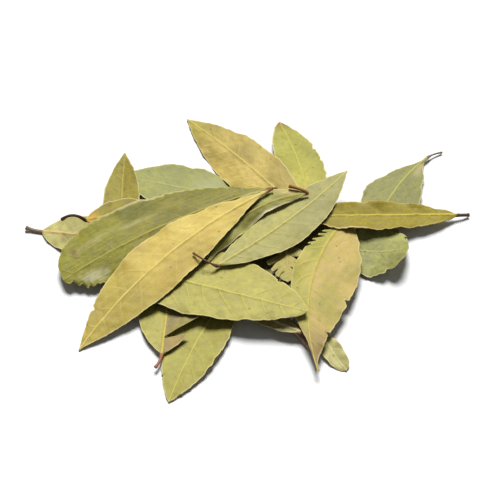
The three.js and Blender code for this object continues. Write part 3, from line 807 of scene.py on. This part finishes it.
def vein_lines(tree, look, at):
    """How much of the vein colour shows, then the side veins and the net for the relief. A side
    vein is where the vein number is nearly whole."""
    away = node(tree, "Math", [at.phase, 0.5], operation="PINGPONG")
    line = node(tree, "MapRange", [away, *VEIN_LINE, 1, 0], interpolation_type="SMOOTHSTEP")
    inner = node(tree, "MapRange", [at.from_edge, *VEIN_FADE_MM])
    line = node(tree, "Math", [line, inner], operation="MULTIPLY")
    rib = node(tree, "MapRange", [at.from_rib, *RIB_LINE, 1, 0], interpolation_type="SMOOTHSTEP")
    net = node(tree, "TexVoronoi", {"Vector": at.mm, "Scale": 1 / NET_MM},
               feature="DISTANCE_TO_EDGE")
    net = node(tree, "MapRange", [net, *NET_WALL, 1, 0])
    drawn = node(tree, "Math", [line, look["veins"] * RIB_TO_VEIN, rib], operation="MULTIPLY_ADD")
    drawn = node(tree, "Math", [net, NET_STRENGTH, drawn], operation="MULTIPLY_ADD",
                 use_clamp=True)
    return drawn, line, net


def speck_discs(tree, look, at, number):
    """A disc round the point of a Voronoi cell, in the cells whose random colour is low."""
    moved = node(tree, "VectorMath", [at.mm, (SPECKS_APART_MM * number, 0, 0)], operation="ADD")
    cell = node(tree, "TexVoronoi", {"Vector": moved, "Scale": 1 / SPECK_MM}, out=None,
                voronoi_dimensions="2D")
    disc = node(tree, "MapRange", [cell.outputs["Distance"], *SPECK_DISC, SPECK_STRENGTH, 0])
    chosen = node(tree, "SeparateColor", [cell.outputs["Color"]])
    chosen = node(tree, "Math", [chosen, look["specks"] / 2], operation="LESS_THAN")
    return node(tree, "Math", [disc, chosen], operation="MULTIPLY")


# %% [markdown]
# ## The leaf's material
# The margin is a thin pale thread of cartilage, the underside is paler, and the stalk's brown runs
# a little way up the midrib. The bump is only for relief too fine for the mesh. Wax has an IOR near
# the shader's own; a low specular level dulls it, as the cracks of a dry skin do.

# %% The leaf's material
THREAD_MM, THREAD_STRENGTH = (0.12, 0.42), 0.6  # from the margin: full, and gone
BROWN_ENDS = 0.02
UNDERSIDE, UNDERSIDE_STRENGTH = "#a09c74", 0.5
RELIEF_MM, NET_HEIGHT = 0.14, 0.35
SATIN, SILK, WAX_LEVEL = (0.48, 0.66), 0.4, 0.2  # roughness, its change by streaks


def dried_laurel(leaf, number):
    """One leaf's material: lamina, veins, specks, margin, underside and stalk, in washes."""
    look = leaf["look"]
    material = bpy.data.materials.new("dried_laurel_" + leaf["name"].removeprefix("leaf_"))
    tree = empty_graph(material)
    at = leaf_patterns(tree)
    drawn, line, net = vein_lines(tree, look, at)
    thread = node(tree, "MapRange", [at.from_edge, *THREAD_MM, THREAD_STRENGTH, 0])
    under = node(tree, "MapRange", [at.face, -0.1, 0.1, UNDERSIDE_STRENGTH, 0])
    brown = node(tree, "MapRange", [at.along, 0, BROWN_ENDS, 1, 0])
    colour = washes(tree, pigment(tree, look, at), [
        (drawn, look["rib"]), (speck_discs(tree, look, at, number), SPECK_BROWN),
        (thread, look["rim"]), (under, UNDERSIDE), (brown, look["stalk"])])

    relief = at.mottle
    for pattern, height in ((net, NET_HEIGHT), (line, look["veins"]), (at.streak, look["streaks"])):
        relief = node(tree, "Math", [pattern, height, relief], operation="MULTIPLY_ADD")
    bump = node(tree, "Bump", {"Strength": 0.6, "Distance": RELIEF_MM * MM, "Height": relief})
    silk = node(tree, "Math", [at.streak, -SILK * look["streaks"], SILK / 2 * look["streaks"]],
                operation="MULTIPLY_ADD")
    satin = node(tree, "MapRange", [at.mottle, 0.3, 0.7, *SATIN])
    gloss = node(tree, "Math", [silk, satin], operation="ADD")
    skin = node(tree, "BsdfPrincipled", {"Base Color": colour, "Roughness": gloss,
                                         "Normal": bump, "Specular IOR Level": WAX_LEVEL})
    node(tree, "OutputMaterial", [skin], out=None)
    return material


# %% [markdown]
# ## Making the leaves
# Every leaf rides on the one body and replaces its imported node.

# %% Making the leaves
for number, leaf in enumerate(LEAVES):
    piece = leaf_object(leaf, seed=100 + 10 * number)
    piece.data.materials.append(dried_laurel(leaf, number))
    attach(piece, "root")
    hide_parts(leaf["name"])
    print(piece.name, "faces:", len(piece.data.polygons))

# %% [markdown]
# ## The twig
# The leaves grew on a short woody twig, which lies under them. It tapers, swells where a leaf grew,
# and has dried into wandering grooves. A bevelled curve would be a smooth rod, so here a circle
# whose radius depends on its angle and place is carried along a route, in two halves.

# %% The twig
TWIG_ROUTE = np.array([(19, -33.5), (15, -28), (10, -21), (4, -12), (0, -3), (-3, 7), (-9, 15)])
TWIG_ROWS, TWIG_COLUMNS = 300, 40
SAMPLES_PER_POINT = 40


def curve_through(points, count):
    """Evenly spread points of a Catmull-Rom curve, and its length: each piece is the cubic that
    leaves a point in the direction of its neighbours."""
    p = np.vstack([2 * points[0] - points[1], points, 2 * points[-1] - points[-2]])
    span = np.linspace(0, len(points) - 1, SAMPLES_PER_POINT * len(points))
    i = np.minimum(span.astype(int), len(points) - 2)
    t = (span - i)[:, None]
    before, start, end, after = (p[i + k] for k in range(4))
    cubic = 2 * start + (end - before) * t + (2 * before - 5 * start + 4 * end - after) * t**2
    cubic = 0.5 * (cubic + (3 * start - 3 * end + after - before) * t**3)
    run = np.concatenate([[0], np.cumsum(np.linalg.norm(np.diff(cubic, axis=0), axis=1))])
    even = np.linspace(0, run[-1], count)
    return np.column_stack([np.interp(even, run, cubic[:, k]) for k in (0, 1)]), run[-1]


twig_route, twig_length = curve_through(TWIG_ROUTE - MIDDLE, TWIG_ROWS)
print("the twig is", round(twig_length, 1), "mm long")

# %% The profile of the twig
TWIG_RADII = (1.3, 0.8)  # at the cut end, where the route starts, and at the far end
TWIG_NODES = (0.12, 0.34, 0.56, 0.78)  # where leaves grew, as shares of the length
NODE_HEIGHT, NODE_REACH = 0.3, 0.025  # in mm, and as a share of the length
CORE = 0.92  # of the radius, as ridges stand out from it
GROOVES, GROOVE_DEPTH = (5, 8, 13), 0.09  # round the twig, and a share of the radius
GROOVE_WANDER, WANDER_LENGTH = 1.5, 16  # in radians, and over what length
ROUGHENING, ROUGH_MM = 0.03, 1.6
SEAM = 0.03  # radians left for the strips that join the halves


def fine_twig(seed):
    """The twig's upper and lower points, half a circle each at every place of the route: the
    radius tapers, plus a bell at each node, times 1 + grooves cos(k angle) / k."""
    along = unit(np.gradient(twig_route, axis=0))
    left = np.column_stack([-along[:, 1], along[:, 0], np.zeros(TWIG_ROWS)])[:, None]
    s = np.linspace(0, 1, TWIG_ROWS)[:, None]
    taper = TWIG_RADII[0] + (TWIG_RADII[1] - TWIG_RADII[0]) * s
    core = CORE * (taper + sum(NODE_HEIGHT * bell(s - place, NODE_REACH) for place in TWIG_NODES))
    centre = np.column_stack([twig_route, core])[:, None]
    x, grids = s * twig_length, []
    for turn in (1, -1):
        angle = turn * np.linspace(SEAM, np.pi - SEAM, TWIG_COLUMNS)[None, :]
        wander = GROOVE_WANDER * ripples(x, 0 * angle, WANDER_LENGTH, seed)
        grooves = sum(np.cos(k * angle + wander) / k for k in GROOVES)
        rough = ROUGHENING * ripples(x, 2 * angle, ROUGH_MM, seed + 1)
        radius = core * (1 + GROOVE_DEPTH * grooves + rough)
        points = centre - left * (radius * np.cos(angle))[..., None]
        points = points + UP * (radius * np.sin(angle))[..., None]
        points[..., 2] = np.maximum(points[..., 2], 0)
        mm = np.stack([x + 0 * angle, taper * angle, 0 * x + 0 * angle], axis=-1)
        grids.append((points.reshape(-1, 3), mm.reshape(-1, 3)))
    return [np.concatenate(pair) for pair in zip(*grids)]


twig_points, twig_mm = fine_twig(seed=7)
print("and", round(twig_points[:, 2].max(), 2), "mm high")

# %% [markdown]
# ## Young laurel bark
# Bark of the year is thin and brown, and dries to a matt skin with fine lengthwise streaks and
# small pale pores. Two patterns do it: a stretched noise, and small round cells.

# %% Young laurel bark
PORE_MM, PORE_DISC = 1.4, (0.1, 0.18)  # spacing of the pores, and the disc of each
CUT_MM = (0.05, 0.2)  # from the cut end: pale wood is full, and gone
BARK_DARK, BARK_LIGHT, PORE_PALE, CUT_WOOD = "#5f4632", "#94755c", "#a58d70", "#b09a7c"
BARK_RELIEF_MM, BARK_ROUGHNESS = 0.15, 0.62


def laurel_bark():
    """Light streaks over dark brown, then pale pores, and the paler rim of the cut end."""
    material = bpy.data.materials.new("young_laurel_bark")
    tree = empty_graph(material)
    mm = node(tree, "Attribute", attribute_name="mm", out="Vector")
    narrow = node(tree, "Mapping", {"Vector": mm, "Scale": STREAK_SCALE})
    streak = node(tree, "TexNoise", {"Vector": narrow, "Scale": 1, "Detail": 4})
    streak = node(tree, "MapRange", [streak, 0.35, 0.65])
    pore = node(tree, "TexVoronoi", {"Vector": mm, "Scale": 1 / PORE_MM})
    pore = node(tree, "MapRange", [pore, *PORE_DISC, 0.8, 0])
    cut = node(tree, "MapRange", [node(tree, "SeparateXYZ", [mm]), *CUT_MM, 0.8, 0])
    colour = washes(tree, linear(BARK_DARK),
                    [(streak, BARK_LIGHT), (pore, PORE_PALE), (cut, CUT_WOOD)])
    relief = node(tree, "Math", [pore, 0.5, streak], operation="MULTIPLY_ADD")
    bump = node(tree, "Bump", {"Strength": 0.6, "Distance": BARK_RELIEF_MM * MM,
                               "Height": relief})
    skin = node(tree, "BsdfPrincipled", {"Base Color": colour, "Roughness": BARK_ROUGHNESS,
                                         "Normal": bump})
    node(tree, "OutputMaterial", [skin], out=None)
    return material


# %% Making the twig
twig = mesh_object("twig_fine", twig_points, closed_skin(TWIG_ROWS, TWIG_COLUMNS),
                   {"mm": twig_mm})
twig.data.materials.append(laurel_bark())
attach(twig, "root")
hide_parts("twig")
print(twig.name, "faces:", len(twig.data.polygons))

# %% [markdown]
# ## The table
# The sprig lies on a board with a matt white lacquer that only takes shadows. A board with edges
# would add nothing in view, so it is one square, a hair below the lowest leaf, or the two would
# flicker through each other.

# %% The table
TABLE_SIDE = 4000
TABLE_DROP = 0.05
LACQUER_WHITE, LACQUER_ROUGHNESS = "#cecece", 0.9

corners = np.array([(-1, -1, 0), (1, -1, 0), (1, 1, 0), (-1, 1, 0)]) * TABLE_SIDE / 2
table = mesh_object("table", corners - UP * TABLE_DROP, np.array([[0, 1, 2, 3]]), {})
lacquer = bpy.data.materials.new("white_lacquer")
tree = empty_graph(lacquer)
board = node(tree, "BsdfPrincipled", {"Base Color": linear(LACQUER_WHITE),
                                      "Roughness": LACQUER_ROUGHNESS})
node(tree, "OutputMaterial", [board], out=None)
table.data.materials.append(lacquer)
table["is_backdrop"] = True

# %% [markdown]
# ## The light
# One broad light from behind and above makes the shadows fall towards the viewer, and the table
# turns pure white. A sun lamp is simpler here than a soft box: its angle alone sets how soft a
# shadow is.

# %% The light
LIGHT_ELEVATION = np.radians(60)  # straight behind the sprig
LIGHT_STRENGTH = 6.3
LIGHT_SPREAD = np.radians(28)

sun = bpy.data.objects.new("light", bpy.data.lights.new("light", "SUN"))
sun.data.energy = LIGHT_STRENGTH
sun.data.angle = LIGHT_SPREAD
towards_light = (0, np.cos(LIGHT_ELEVATION), np.sin(LIGHT_ELEVATION))
sun.rotation_euler = Vector(towards_light).to_track_quat("Z", "Y").to_euler()
scene.collection.objects.link(sun)
print("light from", round(float(np.degrees(LIGHT_ELEVATION))), "degrees above the table")

# %% [markdown]
# ## The air around
# Very little light comes from elsewhere, so the gaps between leaves stay almost black. A camera
# ray sees a pure white world all the same: the Light Path node tells such a ray apart.

# %% The air around
FILL = 0.16

world = bpy.data.worlds.new("world")
tree = empty_graph(world)
seen = node(tree, "LightPath", out="Is Camera Ray")
brightness = node(tree, "MapRange", {0: seen, 3: FILL, 4: 1})
sky = node(tree, "Background", {"Color": (1, 1, 1, 1), "Strength": brightness})
node(tree, "OutputWorld", [sky], out=None)
scene.world = world
scene.view_settings.view_transform = "Standard"

# %% [markdown]
# ## Size
# The fine pieces should fill the same box as the imported ones, so both boxes are printed.

# %% Size
low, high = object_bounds()
sizes = {"cad": [list(cad_low), list(cad_high)], "visual": [list(low), list(high)]}
for name, (lowest, highest) in sizes.items():
    print(name, [round((b - a) / MM, 2) for a, b in zip(lowest, highest)], "mm")
